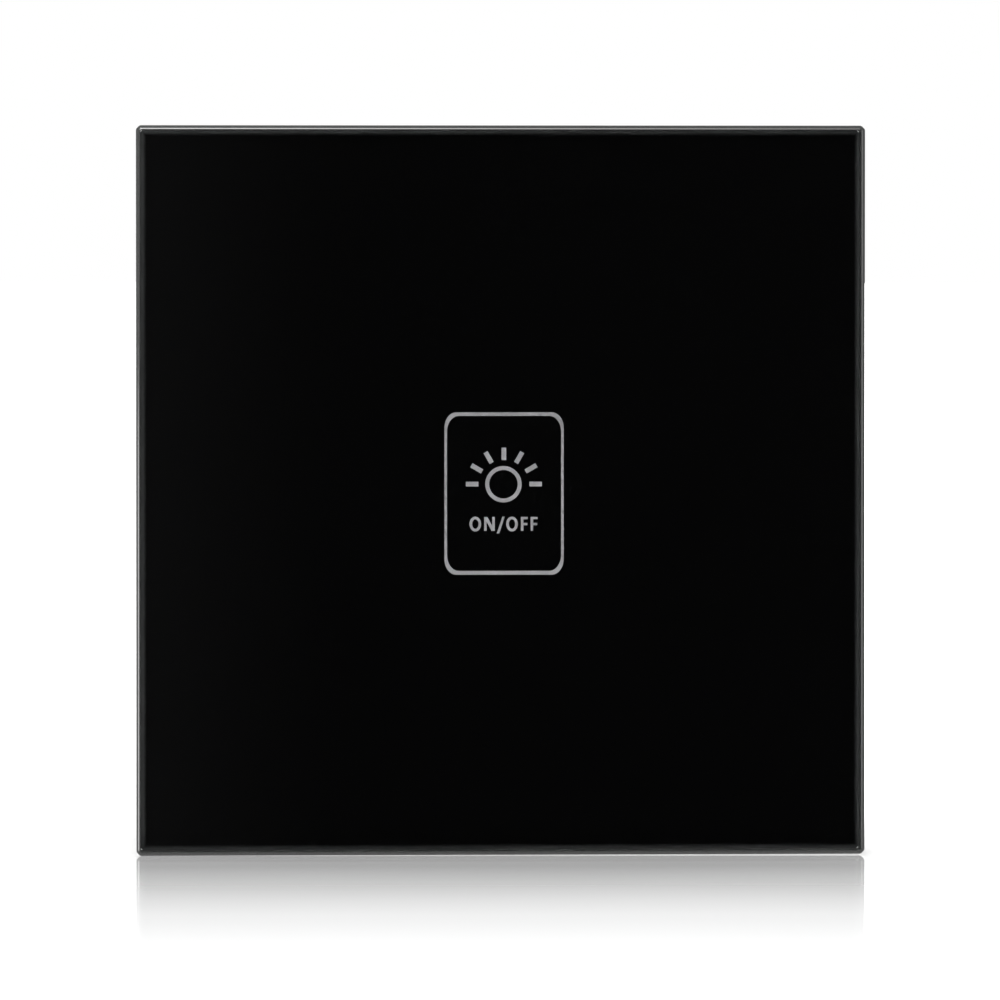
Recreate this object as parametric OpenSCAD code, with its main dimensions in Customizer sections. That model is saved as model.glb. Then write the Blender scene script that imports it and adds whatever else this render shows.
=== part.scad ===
// Single-gang capacitive touch light switch for a square flush wall box.
// Frame: origin on the wall plane, midway between the two wall-box screws.
// +X right, +Z up, the glass faces -Y, the rear box reaches into the wall along +Y.
// Modules are drawn with x right, y up and z towards the room, then turned into that frame.

/* [Front panel] */
// Width and height of the square glass
panel_size = 86; // [85.6:0.1:88]
// Thickness of the glass
glass_t = 4; // [3.6:0.1:4.2]
// Distance from the wall to the front of the glass
panel_projection = 11.5; // [11.3:0.1:12.5]
// Width of the ground chamfer round the glass
glass_arris = 0.35; // [0.2:0.05:0.6]
// Corner radius of the glass
glass_corner_r = 0.8; // [0.3:0.1:2]
// Clear border between the edge of the glass and the black print
ink_margin = 0.5; // [0.4:0.1:1.6]
// Outside width of the plastic frame behind the glass
frame_size = 85; // [84.4:0.1:85.2]
// Wall thickness of the plastic frame
frame_wall = 2; // [1.8:0.1:2.1]

/* [Touch symbol] */
// Width of the printed outline round the touch field
field_w = 14.11; // [12:0.1:18]
// Height of the printed outline round the touch field
field_h = 19.19; // [17:0.1:22]
// Sideways place of the touch field from the middle of the glass
field_x = 0.47; // [-2:0.01:2]
// Upward place of the touch field from the middle of the glass
field_y = -0.42; // [-2:0.01:2]

/* [Wall fixing] */
// Distance between the two wall-box screws
screw_spacing = 60.3; // [59:0.1:62]
// Width of each screw slot
slot_w = 4.4; // [3.8:0.1:5]
// End to end length of each screw slot
slot_l = 7; // [6:0.1:8]
// Thickness of the steel bracket
bracket_t = 1.2; // [1:0.1:1.2]

/* [Rear box] */
// Outside width and height of the rear box
box_size = 50; // [49.8:0.1:50.2]
// Depth of the rear box behind the wall plane
box_depth = 24.5; // [24:0.1:30]
// Wall thickness of the rear box
box_wall = 1.8; // [1.6:0.1:1.9]

/* [Terminals] */
// Distance between neighbouring terminals
pole_pitch = 8; // [8:0.05:8.4]
// Radius of each round wire entry
wire_r = 1.65; // [1.2:0.05:1.65]
// Travel of the clamping cage
cage_travel = 3.2; // [1:0.1:3.2]

/* [Hidden] */
$fn = 48;
glass_back = panel_projection - glass_t;
ink_t = 0.15;
icon_t = ink_t;
ink_back = glass_back - ink_t;
film_t = 0.2;
film_back = ink_back - film_t;
tape_t = 0.6;
tape_back = ink_back - tape_t;
flange_t = 1.5;
flange_back = tape_back - flange_t;
frame_back = 0.5;
frame_in = frame_size - 2 * frame_wall;
flange_w = 1.2;              // thickness of the rear box's front flange
cover_z = bracket_t + flange_w;
board_z = cover_z + 1;       // underside of the touch board
board_t = 1;
board_top = board_z + board_t;
pcb_top = -2;                // room side of the power board
pcb_back = -3.6;             // wall side of the power board
box_in = box_size - 2 * box_wall;
step_depth = 19.4;           // depth of the lower, terminal end of the rear box
step_y = -10;                // where the full-depth end of the box begins
ear_x = 22;                  // sideways place of the clip ears
ear_y = 37.2;                // inner face of the clip ears
tie_x = 20;                  // housing screws
tie_y = 29.4;
pole_y = -18;                // axis of the terminal screws, from the middle
header_y = 20;
poles = [-pole_pitch, 0, pole_pitch];

// ---------- shared shapes ----------

module room() { rotate([90, 0, 0]) children(); }

// children stand on the wall side of the power board, with +z towards the wall
module behind_board(x, y) { translate([x, y, pcb_back]) mirror([0, 0, 1]) children(); }

function arc(cx, cy, rx, ry, a0, a1, n) =
  [for (i = [0:n]) let (a = a0 + (a1 - a0) * i / n) [cx + rx * cos(a), cy + ry * sin(a)]];

// outline with elliptical corners, centred
function outline(w, h, rx, ry, n) = concat(
  arc(w / 2 - rx, h / 2 - ry, rx, ry, 0, 90, n), arc(-w / 2 + rx, h / 2 - ry, rx, ry, 90, 180, n),
  arc(-w / 2 + rx, -h / 2 + ry, rx, ry, 180, 270, n), arc(w / 2 - rx, -h / 2 + ry, rx, ry, 270, 360, n));

module plate(w, h, t, r, n = 6) { linear_extrude(t) polygon(outline(w, h, r, r, n)); }

// plate with chamfered edges: lo round its underside, hi round its top
module slab(w, h, t, r, lo, hi, n = 6) {
  e = min(1, (t - lo - hi) / 2 - 0.02);
  intersection() {
    translate([0, 0, -2]) plate(w, h, t + 4, r, n);
    rotate([90, 0, 0]) translate([0, 0, -h / 2 - 2]) linear_extrude(h + 4) polygon([
      [-w / 2 + lo, 0], [w / 2 - lo, 0], [w / 2 + e, lo + e], [w / 2 + e, t - hi - e],
      [w / 2 - hi, t], [-w / 2 + hi, t], [-w / 2 - e, t - hi - e], [-w / 2 - e, lo + e]]);
    rotate([90, 0, 90]) translate([0, 0, -w / 2 - 2]) linear_extrude(w + 4) polygon([
      [-h / 2 + lo + 1, -1], [h / 2 - lo - 1, -1], [h / 2 + e, lo + e], [h / 2 + e, t - hi - e],
      [h / 2 - hi - 1, t + 1], [-h / 2 + hi + 1, t + 1], [-h / 2 - e, t - hi - e], [-h / 2 - e, lo + e]]);
  }
}

// slot that runs along x, for cutting
module slot(l, w, t) {
  for (s = [-1, 1]) translate([s * (l - w) / 2, 0, 0]) cylinder(h = t, r = w / 2);
  translate([-(l - w) / 2, -w / 2, 0]) cube([l - w, w, t]);
}

// pan-head screw with a cross recess: the head stands on z = 0, the shank hangs below
module pan_screw(head_r, head_t, shank_r, shank_l, recess) {
  difference() {
    union() {
      rotate_extrude() polygon([[0, 0], [head_r, 0], [head_r, head_t * 0.45], [head_r * 0.9, head_t * 0.75],
        [head_r * 0.68, head_t * 0.95], [head_r * 0.4, head_t], [0, head_t]]);
      translate([0, 0, -shank_l]) cylinder(h = shank_l + 0.2, r = shank_r);
    }
    for (a = [0, 90]) rotate([0, 0, a])
      translate([-recess / 2, -recess * 0.13, head_t * 0.4]) cube([recess, recess * 0.26, head_t]);
  }
}

// ---------- front panel ----------

module glass_panel() { color([0.02, 0.02, 0.025]) room() translate([0, 0, glass_back])
  slab(panel_size, panel_size, glass_t, glass_corner_r, glass_arris, glass_arris, 8);
}

// printed touch symbol: field outline, lamp with rays, and plain switch lettering
module symbol(t) {
  translate([field_x, field_y, 0]) linear_extrude(t) difference() {
    polygon(outline(field_w, field_h, 1.4, 1.86, 10));
    translate([0, 0.015]) polygon(outline(field_w - 0.62, field_h - 0.89, 1.39, 1.85, 10));
  }
  translate([field_x - 0.07, field_y + 1.1, 0])
    linear_extrude(t) difference() { circle(r = 2.15); circle(r = 1.69); }
  translate([field_x - 0.02, field_y + 1.12, 0])
    for (a = [0:30:180]) let (dip = 0.19 * sin(a) * sin(a)) rotate([0, 0, a])
      translate([3.02 - dip, -0.275, 0]) cube([1.47, 0.55, t]);
  translate([field_x - 0.06, field_y - 4.51, 0]) {
    for (x = [-3.34, 1]) translate([x, 0.91, 0]) linear_extrude(t) difference() {
      polygon(outline(1.38, 1.75, 0.689, 0.874, 9));
      polygon(outline(0.74, 1.13, 0.369, 0.564, 9));
    }
    translate([-2.3, 0, 0]) linear_extrude(t) polygon([[0, 0.1], [0.3, 0.1], [0.3, 1.17], [0.87, 0.1],
      [1.26, 0.1], [1.26, 1.75], [0.96, 1.75], [0.96, 0.68], [0.39, 1.75], [0, 1.75]]);
    translate([-0.8, -0.2, 0]) linear_extrude(t) polygon([[0, 0], [0.29, 0], [0.95, 1.98], [0.66, 1.98]]);
    for (x = [2.04, 3.2]) translate([x, 0, 0]) linear_extrude(t) polygon([[0, 0.1], [0.31, 0.1], [0.31, 0.76],
      [0.78, 0.76], [0.78, 1.04], [0.31, 1.04], [0.31, 1.47], [0.82, 1.47], [0.82, 1.75], [0, 1.75]]);
  }
}

module ink_mask() { color([0.012, 0.012, 0.013]) room() difference() {
  translate([0, 0, ink_back]) plate(panel_size - 2 * ink_margin, panel_size - 2 * ink_margin, ink_t, 0.5);
  translate([0, 0, ink_back - 1]) symbol(ink_t + 2);
} }

module icon_print() { color([0.6, 0.6, 0.61]) room() translate([0, 0, glass_back - icon_t]) symbol(icon_t); }

module diffuser_film() { color([0.92, 0.92, 0.9]) room()
  translate([field_x, field_y, film_back]) plate(22, 27, film_t, 1.5);
}

module adhesive_frame() { color([0.05, 0.05, 0.05]) room() difference() {
  translate([0, 0, tape_back]) plate(82, 82, tape_t, 1);
  translate([0, 0, tape_back - 1]) plate(70, 70, tape_t + 2, 1.5);
} }

// carrier bonded behind the glass, open to the wall, with ribs that the clips hold
module panel_frame() { color([0.07, 0.07, 0.075]) room() {
  difference() {
    translate([0, 0, frame_back]) slab(frame_size, frame_size, ink_back - 0.03 - frame_back, 1.2, 0.35, 0.15);
    translate([0, 0, frame_back - 1]) plate(frame_in, frame_in, flange_back - frame_back + 1, 0.8);
    translate([0, 0, flange_back - 1]) plate(66, 66, 5, 2.5);
    translate([0, 0, tape_back]) plate(82.5, 82.5, 3, 0.8);
    translate([-7, -frame_size / 2 - 1, frame_back - 1]) cube([14, frame_wall + 2, 2.3]);
  }
  for (s = [0, 180], x = [-ear_x, ear_x]) rotate([0, 0, s]) translate([x - 5.5, frame_in / 2, 0])
    rotate([90, 0, 90]) linear_extrude(11)
      polygon([[0.3, 1.4], [0, 1.4], [-0.9, 1.8], [-0.9, 2.1], [0, 2.7], [0.3, 2.7]]);
  for (s = [0:90:270], x = [-34.5, -12, 12, 34.5]) rotate([0, 0, s]) translate([x - 0.6, frame_in / 2, 0])
    rotate([90, 0, 90]) linear_extrude(1.2)
      polygon([[0.3, 3], [0, 3], [-3.6, flange_back - 0.6], [-3.6, flange_back + 0.3], [0.3, flange_back + 0.3]]);
} }

// ---------- base ----------

// pressed steel: opening for the box, two screw slots, beads, edge flanges and clip ears
module mounting_bracket() { color([0.7, 0.71, 0.72]) room() difference() {
  union() {
    plate(80, 80, bracket_t, 3);
    for (s = [-1, 1]) {
      translate([s * 39.4 - 0.6, -28, 0]) cube([1.2, 56, 2.8]);
      for (x = [-ear_x, ear_x]) translate([x - 5, s * (ear_y + 0.6) - 0.6, 0]) cube([10, 1.2, 4.4]);
      for (y = [-18, 18]) translate([s * 34.5, y, bracket_t - 0.2]) rotate([0, 0, 90]) plate(20, 3, 0.8, 1.4);
    }
  }
  translate([0, 0, -1]) plate(box_size + 0.6, box_size + 0.6, 4, 1.8);
  for (s = [-1, 1]) {
    translate([s * screw_spacing / 2, 0, -1]) slot(slot_l, slot_w, 4);
    for (y = [-18, 18]) translate([s * 34.5, y, -1]) rotate([0, 0, 90]) plate(18.4, 1.4, 1.7, 0.69);
    for (x = [-ear_x, ear_x]) translate([x - 5.2, s * (ear_y - 2) - 2, -1]) cube([10.4, 4, 4]);
    for (x = [-tie_x, tie_x]) translate([x, s * tie_y, -1]) cylinder(h = 4, r = 1.32);
  }
} }

// spring-steel clips over the bracket's ears, bowed outwards to hold the panel's ribs
module retaining_clips() { color([0.55, 0.56, 0.58]) room()
  for (s = [0, 180], x = [-ear_x, ear_x]) rotate([0, 0, s]) translate([x - 4, ear_y, 0])
    rotate([90, 0, 90]) linear_extrude(8) polygon([[-0.44, 2], [-0.04, 2], [-0.04, 4.44], [1.24, 4.44], [1.24, 3.95],
      [2.35, 3.2], [1.22, 1.75], [1.55, 1.5], [2.85, 3.2], [1.64, 4.05], [1.64, 4.84], [-0.44, 4.84]]);
}

// housing that goes into the wall box: full depth above, stepped down at the terminals
module rear_box() { color([0.86, 0.86, 0.83]) room() difference() {
  union() {
    difference() {
      union() {
        translate([0, 0, -step_depth]) slab(box_size, box_size, step_depth + bracket_t + 0.4, 2.2, 0.9, 0.05);
        translate([0, (box_size / 2 + step_y) / 2, -box_depth])
          slab(box_size, box_size / 2 - step_y, box_depth - step_depth + 4, 2.2, 1.1, 0.05);
        translate([0, 0, bracket_t]) plate(51, 65, flange_w, 3);
      }
      translate([0, 0, -step_depth + box_wall]) plate(box_in, box_in, 40, 1.2);
      translate([0, (box_size / 2 + step_y) / 2, -box_depth + box_wall])
        plate(box_in, box_size / 2 - step_y - 2 * box_wall, 20, 1.2);
    }
    // corner posts under the power board
    for (x = [-1, 1], y = [-1, 1]) translate([x * 21.7 - 1.6, y * 21.7 - 1.6, y < 0 ? -step_depth + 1 : -box_depth + 1])
      cube([3.2, 3.2, pcb_back + (y < 0 ? step_depth : box_depth) - 1]);
  }
  // seat of the terminal blocks, open at the back and below
  translate([-1.5 * pole_pitch - 0.2, -box_size / 2 - 1, -step_depth - 1]) cube([3 * pole_pitch + 0.4, 14.3, 16.8]);
  // air slots above and at the sides
  for (x = [-15:5:15]) translate([x - 0.7, box_size / 2 - 3, -17]) cube([1.4, 5, 11]);
  for (s = [-1, 1], y = [2:4:18]) translate([s * box_size / 2 - 2.5, y - 0.7, -17]) cube([5, 1.4, 11]);
  // sunk plain field and a wire-stripping gauge on the back
  translate([0, 9.5, -box_depth - 1]) plate(34, 20, 1.3, 1.2);
  translate([-20.5, -6.5, -box_depth - 1]) cube([11, 2, 1.5]);
  for (x = [-tie_x, tie_x], y = [-tie_y, tie_y]) translate([x, y, 0]) cylinder(h = 6, r = 1.6);
} }

// closes the box towards the room and carries the touch board
module front_cover() { color([0.09, 0.09, 0.095]) room() difference() {
  union() {
    translate([0, 0, cover_z]) plate(51, 65, 1, 3);
    difference() {
      translate([0, 0, cover_z + 0.5]) slab(51, 53, 2.1, 2, 0.05, 0.3);
      translate([0, 0, board_z]) plate(48.4, 50.4, 5, 0.6);
    }
    for (x = [-1, 1], y = [-1, 1]) translate([x * 21.3 - 1.5, y * 21.3 - 1.5, pcb_top]) cube([3, 3, cover_z - pcb_top + 0.5]);
    for (x = [-20.5, 20.5]) translate([x, -10, -0.6]) cylinder(h = cover_z + 1.1, r = 2.2);
  }
  translate([-7, header_y - 1.6, 0]) cube([14, 3.2, 6]);
  for (x = [-tie_x, tie_x], y = [-tie_y, tie_y]) translate([x, y, 0]) cylinder(h = 8, r = 1.6);
  for (x = [-20.5, 20.5]) translate([x, -10, -2]) cylinder(h = 10, r = 0.88);
} }

module housing_screws() { color([0.72, 0.72, 0.73]) room()
  for (x = [-tie_x, tie_x], y = [-tie_y, tie_y]) translate([x, y, board_z]) rotate([0, 0, x + y * 3])
    pan_screw(2.7, 1.8, 1.29, board_z - 0.1, 2.9);
}

// ---------- touch board ----------

chips = [[-9, -12.5, 0], [-9, -15.2, 0], [-19.5, -14, 90], [-14, -17.5, 0], [-11, -19.6, 0], [-17.3, -19.6, 0],
  [12, -13, 90], [15, -13, 90], [18, -16.5, 0], [12, -18.4, 0], [-10.5, 10.5, 0], [11.4, 10.5, 0],
  [-11, 15.6, 90], [11.5, 15.6, 90], [14.2, 15.6, 90], [-16, 4, 0], [16.4, 4, 0]];

module touch_board() { color([0.05, 0.25, 0.12]) room() difference() {
  translate([0, 0, board_z]) plate(48, 50, board_t, 0.8);
  for (x = [-20.5, 20.5]) translate([x, -10, 0]) cylinder(h = 9, r = 1.1);
  for (i = [-2:2]) translate([i * 2.54, header_y, 0]) cylinder(h = 9, r = 0.45, $fn = 24);
} }

module touch_board_screws() { color([0.72, 0.72, 0.73]) room()
  for (x = [-20.5, 20.5]) translate([x, -10, board_top]) rotate([0, 0, x]) pan_screw(1.9, 1.3, 0.85, board_top + 0.4, 2);
}

// electrode spring between the touch board and the glass: tube swept along a helix
spring_r = 4.6;
spring_wire = 0.3;
spring_turns = 2.75;
spring_lo = board_top + spring_wire + 0.02;
spring_hi = film_back - spring_wire - 0.02;
function helix(t) = let (a = 360 * spring_turns * t, s = t * t * (3 - 2 * t))
  [spring_r * cos(a), spring_r * sin(a), spring_lo + (spring_hi - spring_lo) * (0.5 * t + 0.5 * s)];
module touch_spring() {
  n = 54; k = 8;
  pts = [for (i = [0:n], j = [0:k - 1]) let (p = helix(i / n), a = 360 * spring_turns * i / n, b = 360 * j / k)
    [p[0] + spring_wire * cos(b) * cos(a), p[1] + spring_wire * cos(b) * sin(a), p[2] + spring_wire * sin(b)]];
  sides = [for (i = [0:n - 1], j = [0:k - 1]) let (q = (j + 1) % k)
    [i * k + j, i * k + q, (i + 1) * k + q, (i + 1) * k + j]];
  ends = [[for (j = [0:k - 1]) k - 1 - j], [for (j = [0:k - 1]) n * k + j]];
  color([0.8, 0.62, 0.35]) room() translate([field_x, field_y, 0]) polyhedron(points = pts, faces = concat(sides, ends), convexity = 6);
}

// white wall that keeps the lamp's light inside the printed field
module light_shroud() { color([0.95, 0.95, 0.95]) room() translate([field_x, field_y, board_top]) difference() {
  slab(15.6, 20.6, film_back - board_top - 0.15, 1.4, 0.05, 0.2);
  translate([0, 0, -1]) plate(13.4, 18.4, 8, 0.6);
} }

led_places = [[0, 0], [0, 6.7], [0, -6.7]];
module indicator_leds() { color([0.96, 0.96, 0.93]) room()
  for (p = led_places) translate([field_x + p[0], field_y + p[1], board_top]) difference() {
    slab(3.2, 2.7, 1.4, 0.15, 0.05, 0.08);
    translate([0, 0, 0.9]) cylinder(h = 2, r1 = 0.95, r2 = 1.35);
  }
}
module led_lenses() { color([0.95, 0.9, 0.5]) room()
  for (p = led_places) translate([field_x + p[0], field_y + p[1], board_top + 0.92]) cylinder(h = 0.3, r = 0.92);
}

module chip_body(h) { slab(4.9, 3.9, h, 0.15, 0.25, 0.25); }
module touch_chip() { color([0.06, 0.06, 0.06]) room() translate([-14, -12.5, board_top + 0.1]) chip_body(1.4); }

// one bent lead: foot on z = 0, reaching out along +y
module gull(w) { translate([-w / 2, 0, 0]) rotate([90, 0, 90]) linear_extrude(w)
  polygon([[0, 0.75], [0.55, 0.75], [0.68, 0.18], [1.15, 0.18], [1.15, 0.02], [0.52, 0.02], [0.4, 0.6], [0, 0.6]]);
}
module so8_leads() { for (s = [0, 180], i = [-1.5:1:1.5]) rotate([0, 0, s]) translate([i * 1.27, 1.97, 0]) gull(0.42); }
module chip_leads() { color([0.75, 0.75, 0.74]) room() {
  translate([-14, -12.5, board_top]) so8_leads();
  behind_board(1, -6.4) so8_leads();
  behind_board(-5.2, -6.4) for (s = [0, 180], i = [-1, 1]) rotate([0, 0, s]) translate([i * 1.3, 2.02, 0]) gull(0.7);
} }

module chip_parts() { color([0.1, 0.1, 0.1]) room()
  for (c = chips) translate([c[0], c[1], board_top]) rotate([0, 0, c[2]]) translate([-0.55, -0.4, 0.02]) cube([1.1, 0.8, 0.45]);
}
module chip_caps() { color([0.8, 0.8, 0.8]) room()
  for (c = chips, s = [-1, 1]) translate([c[0], c[1], board_top]) rotate([0, 0, c[2]]) translate([s * 0.69 - 0.13, -0.41, 0.01]) cube([0.26, 0.82, 0.48]);
}

module header_block() { color([0.05, 0.05, 0.05]) room() difference() {
  translate([0, header_y, 1.05]) slab(13, 2.4, board_z - 1.05, 0.3, 0.15, 0.05);
  for (i = [-2:2]) translate([i * 2.54, header_y, 0]) cylinder(h = 5, r = 0.34, $fn = 24);
} }
module header_pins() { color([0.85, 0.7, 0.35]) room()
  for (i = [-2:2]) translate([i * 2.54, header_y, -1.5]) cylinder(h = board_top + 2.1, r = 0.32, $fn = 24);
}
module header_socket() { color([0.05, 0.05, 0.05]) room() difference() {
  translate([0, header_y, pcb_top]) slab(13, 2.5, 3, 0.3, 0.05, 0.15);
  for (i = [-2:2]) translate([i * 2.54, header_y, pcb_top + 0.3]) cylinder(h = 5, r = 0.42, $fn = 24);
} }

// ---------- power board ----------

cap_at = [12, 18];
can_at = [[-4.5, 14.5, 4, 12], [-15, 16.3, 3.2, 11]];
choke_at = [-15.5, 6];
varistor_at = [-4, 3];
fuse_at = [-14.5, -5];
relay_at = [13.5, 3];
relay_legs = [[-5.6, 6], [5.6, 6], [0, 8], [0, -8], [4.2, -8]];
legs = concat(
  [for (s = [-5, 5]) [cap_at[0] + s, cap_at[1], 0.05]],
  [for (c = can_at, s = [-1.6, 1.6]) [c[0] + s, c[1], 0.05]],
  [for (s = [-3, 3]) [choke_at[0] + s, choke_at[1], 0.05]],
  [for (s = [-2.4, 2.4]) [varistor_at[0], varistor_at[1] + s, 1.5]],
  [for (s = [-2.5, 2.5]) [fuse_at[0] + s, fuse_at[1], 0.05]]);

module power_board() { color([0.06, 0.28, 0.14]) room() difference() {
  translate([0, 0, pcb_back]) plate(46, 46, pcb_top - pcb_back, 0.8);
  for (l = legs) translate([l[0], l[1], -6]) cylinder(h = 6, r = 0.5, $fn = 24);
  for (l = relay_legs) translate([relay_at[0] + l[0], relay_at[1] + l[1], -6]) cylinder(h = 6, r = 0.6, $fn = 24);
  for (x = poles) translate([x - 0.75, pole_y + 4.3, -6]) cube([1.5, 1.2, 6]);
} }

module component_leads() { color([0.78, 0.78, 0.77]) room()
  for (l = legs) behind_board(l[0], l[1]) translate([0, 0, -2.5]) cylinder(h = 2.5 + l[2], r = 0.4, $fn = 24);
}

module power_chip() { color([0.06, 0.06, 0.06]) room() behind_board(1, -6.4) translate([0, 0, 0.1]) chip_body(1.4); }
module bridge_rectifier() { color([0.07, 0.07, 0.07]) room() behind_board(-5.2, -6.4) translate([0, 0, 0.12]) slab(4.7, 4, 2.3, 0.2, 0.3, 0.3); }
module film_capacitor() { color([0.78, 0.62, 0.1]) room() behind_board(cap_at[0], cap_at[1]) translate([0, 0, 0.1]) slab(13, 6, 11.9, 0.5, 0.3, 0.4); }

module electrolytic_capacitors() { color([0.1, 0.1, 0.16]) room()
  for (c = can_at) behind_board(c[0], c[1]) translate([0, 0, 0.1]) rotate_extrude()
    polygon([[0, 0.3], [c[2] - 0.7, 0.3], [c[2] - 0.4, 0], [c[2], 0.3], [c[2], 1.2], [c[2] - 0.35, 1.5], [c[2], 1.8],
      [c[2], c[3] - 0.5], [c[2] - 0.5, c[3]], [c[2] - 0.9, c[3]], [c[2] - 0.9, c[3] - 0.25], [0, c[3] - 0.25]]);
}

module choke_core() { color([0.16, 0.16, 0.17]) room() behind_board(choke_at[0], choke_at[1]) translate([0, 0, 0.1]) rotate_extrude()
  polygon([[0, 0], [4.5, 0], [4.5, 1.5], [2.4, 1.5], [2.4, 7.5], [4.5, 7.5], [4.5, 9], [0, 9]]);
}
module choke_winding() { color([0.72, 0.38, 0.2]) room() behind_board(choke_at[0], choke_at[1]) translate([0, 0, 1.62]) difference() {
  cylinder(h = 5.96, r = 4.1);
  translate([0, 0, -1]) cylinder(h = 9, r = 2.42);
} }

module varistor() { color([0.1, 0.22, 0.55]) room() behind_board(varistor_at[0], varistor_at[1]) translate([-1.7, 0, 4.8]) rotate([0, 90, 0])
  rotate_extrude() polygon([[0, 0], [3.4, 0], [4, 0.6], [4, 2.8], [3.4, 3.4], [0, 3.4]]);
}
module fuse() { color([0.2, 0.1, 0.06]) room() behind_board(fuse_at[0], fuse_at[1]) translate([0, 0, 0.1]) rotate_extrude()
  polygon([[0, 0], [4.2, 0], [4.2, 6.9], [3.6, 7.5], [0, 7.5]]);
}

// ---------- relay ----------

module in_relay() { behind_board(relay_at[0], relay_at[1]) children(); }
relay_gap = 0.45;            // air gap at the pole

module relay_base() { color([0.1, 0.1, 0.1]) room() in_relay() difference() {
  translate([0, 0, 0.2]) plate(13.6, 17.4, 1.6, 0.5);
  for (l = relay_legs) translate([l[0], l[1], -1]) cylinder(h = 4, r = 0.52, $fn = 24);
} }
module relay_case() { color([0.08, 0.28, 0.6]) room() in_relay() difference() {
  slab(15.4, 19.2, 15.4, 0.8, 0.05, 0.5);
  translate([0, 0, -1]) plate(13.8, 17.6, 15.6, 0.4);
} }
module relay_yoke() { color([0.6, 0.6, 0.6]) room() in_relay() {
  translate([-4, -4.5, 1.82]) cube([8, 12.1, 0.98]);
  translate([-4, 6.6, 2]) cube([8, 1, 10.3]);
} }
module relay_core() { color([0.55, 0.55, 0.56]) room() in_relay() translate([0, 0.5, 0]) rotate_extrude()
  polygon([[0, 2.82], [1.6, 2.82], [1.6, 11.25], [2.8, 11.25], [2.8, 12], [0, 12]]);
}
module relay_bobbin() { color([0.85, 0.82, 0.75]) room() in_relay() translate([0, 0.5, 0]) rotate_extrude()
  polygon([[1.63, 2.84], [5.3, 2.84], [5.3, 3.5], [2.2, 3.5], [2.2, 10.5], [5.3, 10.5], [5.3, 11.2], [1.63, 11.2]]);
}
module relay_coil() { color([0.72, 0.38, 0.2]) room() in_relay() translate([0, 0.5, 3.52]) difference() {
  cylinder(h = 6.96, r = 4.9);
  translate([0, 0, -1]) cylinder(h = 9, r = 2.22);
} }
module relay_fixed_contacts() { color([0.8, 0.6, 0.3]) room() in_relay() {
  translate([-1.5, -8.2, 1.82]) cube([3, 0.4, 10.08]);
  translate([-1.5, -8.2, 11.5]) cube([3, 2.6, 0.4]);
  translate([0, -6.6, 11.8]) cylinder(h = 0.4, r = 1);
  translate([3.2, -8.2, 1.82]) cube([2, 0.4, 12.7]);
  translate([-1.2, -8.2, 14.25]) cube([6.4, 2.6, 0.27]);
} }
module relay_pins() { color([0.78, 0.78, 0.77]) room() in_relay()
  for (l = relay_legs) translate([l[0], l[1], -2.5]) cylinder(h = 4.25, r = 0.5, $fn = 24);
}
// hinged on the yoke's upper edge; the coil draws its free end to the pole
module relay_armature() { color([0.62, 0.62, 0.63]) room() in_relay() translate([-3.8, -5.2, 12 + relay_gap]) cube([7.6, 12.8, 1]); }
module relay_contact_spring() { color([0.82, 0.58, 0.32]) room() in_relay() {
  translate([-1.8, -7.5, 13.47]) cube([3.6, 11.5, 0.23]);
  translate([0, -6.6, 12.9]) cylinder(h = 1.3, r = 1.1);
} }

// ---------- terminals ----------

// single-pole screw terminal housings, side by side
module terminal_blocks() { color([0.33, 0.35, 0.36]) room() for (x = poles) behind_board(x, 0) difference() {
  translate([0, pole_y - 0.35, 0]) slab(pole_pitch - 0.04, 12.9, 15.4, 0.3, 0.05, 0.5);
  translate([0, pole_y, 12.2]) cylinder(h = 9, r = 2.9);
  translate([0, pole_y, 10]) cylinder(h = 4, r = 1.7);
  translate([-3, pole_y - 3.2, 1]) cube([6, 6.4, 10.4]);
  translate([-1.95, pole_y + 3, 5.3]) cube([3.9, 2.5, 1]);
  translate([-1.95, pole_y + 4.4, -1]) cube([3.9, 1.1, 7.3]);
  translate([0, pole_y - 3, 3.7]) rotate([90, 0, 0]) cylinder(h = 12, r = wire_r);
  translate([0, pole_y - 6, 3.7]) rotate([90, 0, 0]) cylinder(h = 1.6, r1 = wire_r, r2 = wire_r + 1.6);
} }

// fixed conductors: each runs through its cage and down to the power board
module terminal_bars() { color([0.8, 0.66, 0.35]) room() for (x = poles) behind_board(x, 0) {
  translate([-1.8, pole_y - 2.8, 5.4]) cube([3.6, 8.1, 0.8]);
  translate([-1.8, pole_y + 4.5, 0.1]) cube([3.6, 0.8, 5.8]);
  translate([-0.6, pole_y + 4.5, -2.6]) cube([1.2, 0.8, 3]);
} }

module terminal_screw(x) { color([0.75, 0.74, 0.7]) room() behind_board(x, 0) translate([0, pole_y, 12.35])
  difference() {
    union() {
      rotate_extrude() polygon([[0, 0], [2.6, 0], [2.6, 1.15], [2.3, 1.5], [1.7, 1.68], [0, 1.7]]);
      translate([0, 0, -6.1]) cylinder(h = 6.3, r = 1.5);
    }
    translate([-3, -0.4, 0.75]) cube([6, 0.8, 2]);
    translate([-0.4, -1.5, 0.75]) cube([0.8, 3, 2]);
  }
}
module terminal_cage(x) { color([0.8, 0.79, 0.76]) room() behind_board(x, 0) translate([0, pole_y, 0]) difference() {
  translate([0, 0, 1.2]) slab(5.6, 5.2, 6.6, 0.3, 0.3, 0.3);
  translate([-2.1, -4, 2]) cube([4.2, 8, 4.4]);
  translate([0, 0, 5]) cylinder(h = 4, r = 1.55);
} }
module terminal_screw_live() { terminal_screw(poles[0]); }
module terminal_screw_neutral() { terminal_screw(poles[1]); }
module terminal_screw_load() { terminal_screw(poles[2]); }
module terminal_cage_live() { terminal_cage(poles[0]); }
module terminal_cage_neutral() { terminal_cage(poles[1]); }
module terminal_cage_load() { terminal_cage(poles[2]); }

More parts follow.
